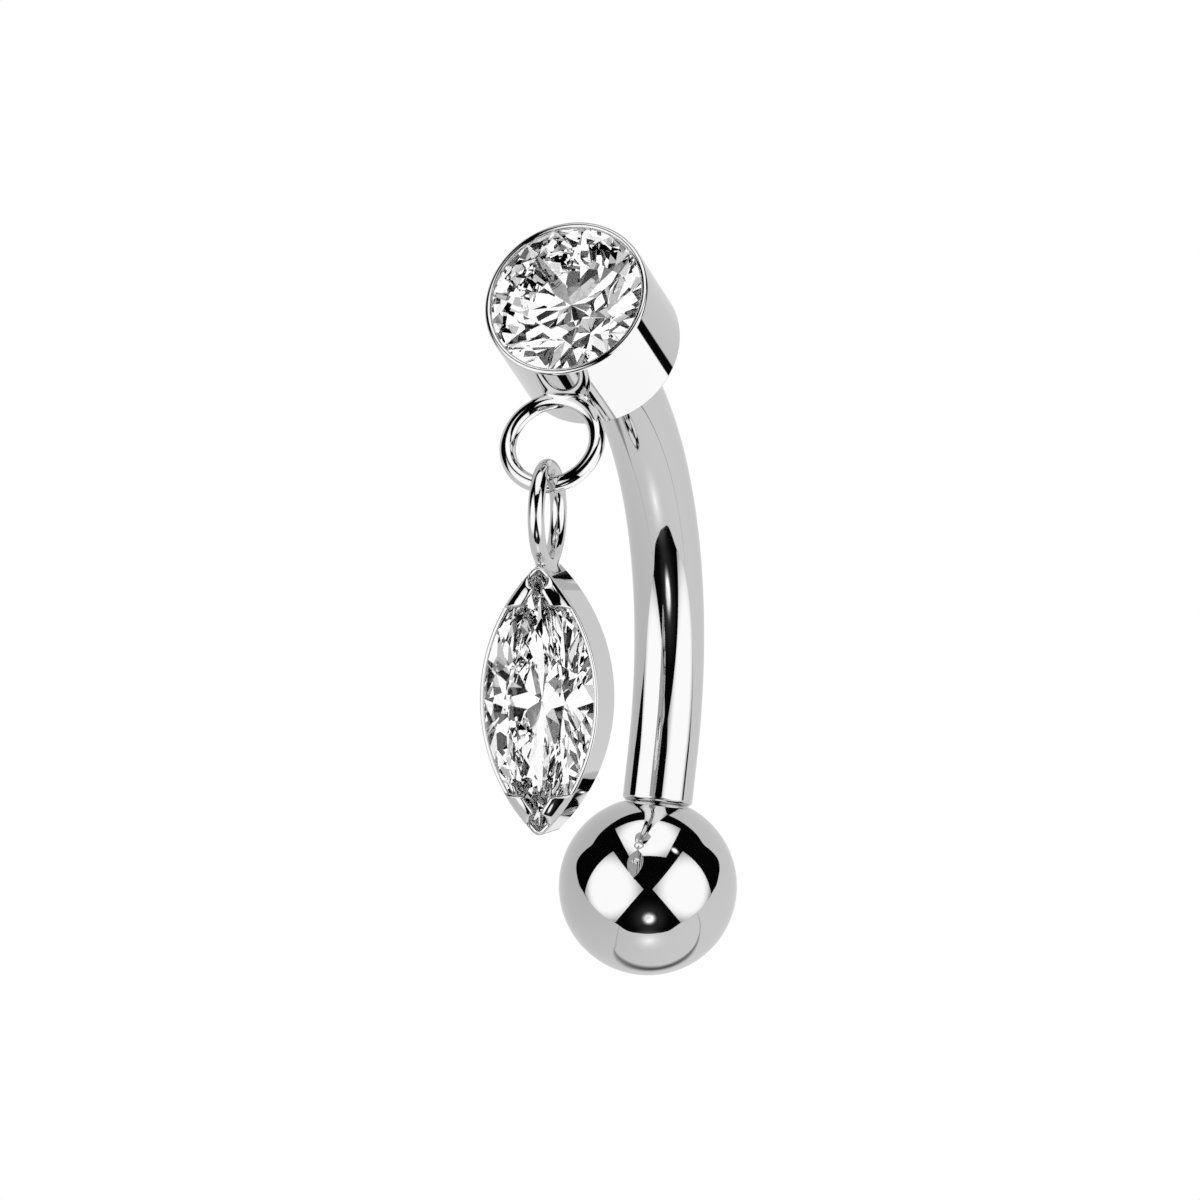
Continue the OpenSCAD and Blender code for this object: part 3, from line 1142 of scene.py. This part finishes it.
other_half = [(-x, y, z) for x, y, z in cloth_edge[-2:0:-1]]
edge = smooth_curve(cloth_edge + other_half, cloth_smooth, closed=True)
middle = toward(0, -0.1, -1)
cloth_points = []
for row in range(cloth_rows):
    share = (row + cloth_start) / (cloth_rows - 1 + cloth_start)
    for x, y, z in list(edge) + [edge[0]]:
        cloth_points.append(middle.slerp(toward(x, y, z), share) * cloth_distance)
black_cloth = light_material("black_cloth", lambda tree: cloth_grey)
stage_mesh("black_cloth", cloth_points, grid(len(edge) + 1, cloth_rows), black_cloth)

# %% Table edge
edge_distance = 3.0
edge_smooth = 10
plain_edge, darkest_edge = 0.74, 0.12
Mark = namedtuple("Mark", "direction half_width")
table_edge = [
    Mark((-0.53, 0.714, -0.459), 0.012),
    Mark((-0.47, 0.86, 0.10), 0.014),
    Mark((-0.44, 0.845, 0.30), 0.018),
    Mark((-0.278, 0.797, 0.535), 0.10),
    Mark((-0.023, 0.709, 0.705), 0.19),
    Mark((0.214, 0.692, 0.690), 0.15),
    Mark((0.513, 0.705, 0.490), 0.05),
    Mark((0.70, 0.67, 0.25), 0.018),
    Mark((0.80, 0.59, 0.05), 0.014),
    Mark((0.857, 0.474, -0.2), 0.012),
]
line = smooth_curve([mark.direction for mark in table_edge], edge_smooth)
widths = smooth_curve([(mark.half_width,) for mark in table_edge], edge_smooth)[:, 0]
edge_points = []
for side in (-1, -0.33, 0.33, 1):
    for i in range(len(line)):
        here = Vector(line[i]).normalized()
        along = Vector(line[min(i + 1, len(line) - 1)] - line[max(i - 1, 0)])
        sideways = here.cross(along).normalized()
        spot = here + sideways * widths[i] * side
        edge_points.append(toward(*spot) * edge_distance)


def edge_shade(tree):
    """A dark line with soft sides, faint towards its ends."""
    parts = node(tree, "ShaderNodeSeparateXYZ", Vector=coordinates(tree, "UV"))
    across = calc(tree, "PINGPONG", parts.outputs["Y"], 0.5)
    along = calc(tree, "PINGPONG", parts.outputs["X"], 0.5)
    core = mapped(tree, across, 0.0, 0.4, 0.0, 1.0)
    depth = mapped(tree, along, 0.1, 0.45, 0.3, 1.0)
    return mapped(tree, calc(tree, "MULTIPLY", core, depth), 0.0, 1.0, plain_edge, darkest_edge)


stage_mesh("table_edge", edge_points, grid(len(line), 4), light_material("table_edge", edge_shade))
give_uv(staged["table_edge"], len(line), 4)
print("cloth and table edge")

# %% Small lamps
lamp_distance = 0.9
lamp_softness = 3.0


def lamp_fall(peak, core):
    def fall(tree):
        soft = calc(tree, "POWER", mapped(tree, from_middle(tree), core, 0.5, 1.0, 0.0), lamp_softness)
        return calc(tree, "MULTIPLY", soft, peak)

    return fall


def lamp(name, direction, size, peak, core):
    here = toward(*direction) * lamp_distance
    side = here.cross(view_ahead).normalized() * size[0] * lamp_distance
    up = here.cross(side).normalized() * size[1] * lamp_distance
    points = [here - side - up, here + side - up, here - side + up, here + side + up]
    glow = light_material(name, lamp_fall(peak, core), see_through=True)
    panel = stage_mesh(name, points, grid(2, 2), glow)
    give_uv(panel, 2, 2)


lamp("lamp_upper", (0.523, -0.695, -0.493), (0.13, 0.09), 2.5, 0.12)
lamp("lamp_lower", (0.021, 0.67, -0.742), (0.2, 0.2), 1.5, 0.2)
lamp("lamp_lower_halo", (0.021, 0.67, -0.742), (0.6, 0.6), 0.05, 0.1)
lamp("floor_glow", (0.015, 0.964, -0.267), (0.46, 0.42), 0.6, 0.0)

# %% [markdown]
# The room is a globe. Its right side is a little brighter than its left. In the
# photograph the cup's wall doesn't agree with the ball: it was lit for itself,
# with a long white card under it that has black edges. That is usual for small
# bright things, where each part gets its own exposure. Light linking does it
# here: the cup alone sees the second globe, and the others the first. The stones
# show a third one through their facets, a white tent with grey and black cards,
# because clear stones that look into a plain room look empty. Light that leaves
# a stone passes the steel, so the tent is all that it sees.

# %% Rooms
room_radius = 5.0
cup_room_radius = 2.5
room_grey = 0.78
room_left, room_right = 0.8, 1.08


def for_pieces(light, pieces):
    """Lets a light fall on these pieces alone."""
    group = bpy.data.collections.new(light.name + "_falls_on")
    for thing in pieces:
        group.objects.link(thing)
    light.light_linking.receiver_collection = group


def position_along(tree, direction):
    settings = {"operation": "DOT_PRODUCT"}
    place = coordinates(tree, "Object")
    return node(tree, "ShaderNodeVectorMath", settings, i0=place, i1=tuple(direction)).outputs["Value"]


def room_fall(tree):
    place = position_along(tree, toward(0.75, 0.7, 0.1))
    return mapped(tree, place, -room_radius, room_radius, room_grey * room_left, room_grey * room_right)


globe("room", room_radius, light_material("room", room_fall))

# %% The cup's own card, in degrees round its axis
card_half = 60
card_black = 13
card_white = 1.38
black_grey = 0.003

cup_axis = (at_cup.to_3x3() @ Vector((0, 0, 1))).normalized()
card_middle = (-view_ahead - cup_axis * cup_axis.dot(-view_ahead)).normalized()
card_side = cup_axis.cross(card_middle)


def card_fall(tree):
    turn = calc(tree, "ARCTAN2", position_along(tree, card_side), position_along(tree, card_middle))
    half_turns = calc(tree, "DIVIDE", calc(tree, "ABSOLUTE", turn), math.pi)
    stops = [
        (0, card_white),
        (card_half - 1, card_white),
        (card_half, black_grey),
        (card_half + card_black, black_grey),
        (card_half + card_black + 1, room_grey),
    ]
    return shade_ramp(tree, half_turns, [(degrees / 180, shade) for degrees, shade in stops], "LINEAR")


globe("cup_room", cup_room_radius, light_material("cup_room", card_fall, see_through=True))

# %% The stones' tent
tent_radius = 0.5
tent_cells = 7.5
tent_shift = (2.8, 3.8, 7.4)
tent_peak = 1.3
tent_shades = [(0, 0.01), (0.34, 0.2), (0.42, 0.5), (0.54, 1.0)]


def tent_fall(tree):
    """Cells of one shade each. Each cell's random number picks its shade."""
    place = coordinates(tree, "Object")
    shifted = node(tree, "ShaderNodeVectorMath", {"operation": "ADD"}, i0=place, i1=tent_shift).outputs[0]
    cells = node(tree, "ShaderNodeTexVoronoi", Vector=shifted, Scale=tent_cells / tent_radius)
    pick = node(tree, "ShaderNodeSeparateXYZ", Vector=cells.outputs["Color"])
    return calc(tree, "MULTIPLY", shade_ramp(tree, pick.outputs["X"], tent_shades, "CONSTANT"), tent_peak)


globe("tent", tent_radius, light_material("tent", tent_fall), seen_by=("transmission",))

# %% Which light falls on which piece
metal = [thing for thing in shown.values() if thing.data.materials[0] is polished_steel]
cup = shown["cup_polished"]
for thing in metal:
    thing.visible_transmission = False
for name, light in staged.items():
    if name in ("room", "table_edge"):
        for_pieces(light, [thing for thing in metal if thing is not cup])
    elif name == "cup_room":
        for_pieces(light, [cup])
    elif light.visible_glossy:
        for_pieces(light, metal)
print("lights:", len(staged))

# %% [markdown]
# The floor is white, and so is the world behind it. Only the camera sees them,
# so they neither show in the steel nor veil the stones, and the piece stands on
# white from every side.

# %% Floor and surround
floor_z = -0.03
floor_half = 6.0
white_paper = light_material("white_paper", lambda tree: 1.0)
reach = (-floor_half, floor_half)
floor_points = [(x, y, floor_z) for y in reach for x in reach]
stage_mesh("floor", floor_points, grid(2, 2), white_paper, seen_by=("camera",))

world = bpy.data.worlds.new("white_surround")
world.use_nodes = True
background = world.node_tree.nodes["Background"]
background.inputs["Color"].default_value = linear("#FFFFFF")
background.inputs["Strength"].default_value = 1
for ray in ("diffuse", "glossy", "transmission", "scatter"):
    setattr(world.cycles_visibility, ray, False)
bpy.context.scene.world = world

# %% [markdown]
# Light turns round inside a brilliant many times before it leaves. Each turn on
# the inside of a facet counts as a glossy bounce, and with only 8 of them the
# points of the marquise go black.

# %% Bounces
bounces = 12
see_through_bounces = 16

cycles = bpy.context.scene.cycles
cycles.max_bounces = bounces
cycles.glossy_bounces = bounces
cycles.transmission_bounces = bounces
cycles.transparent_max_bounces = see_through_bounces
print("bounces:", bounces)
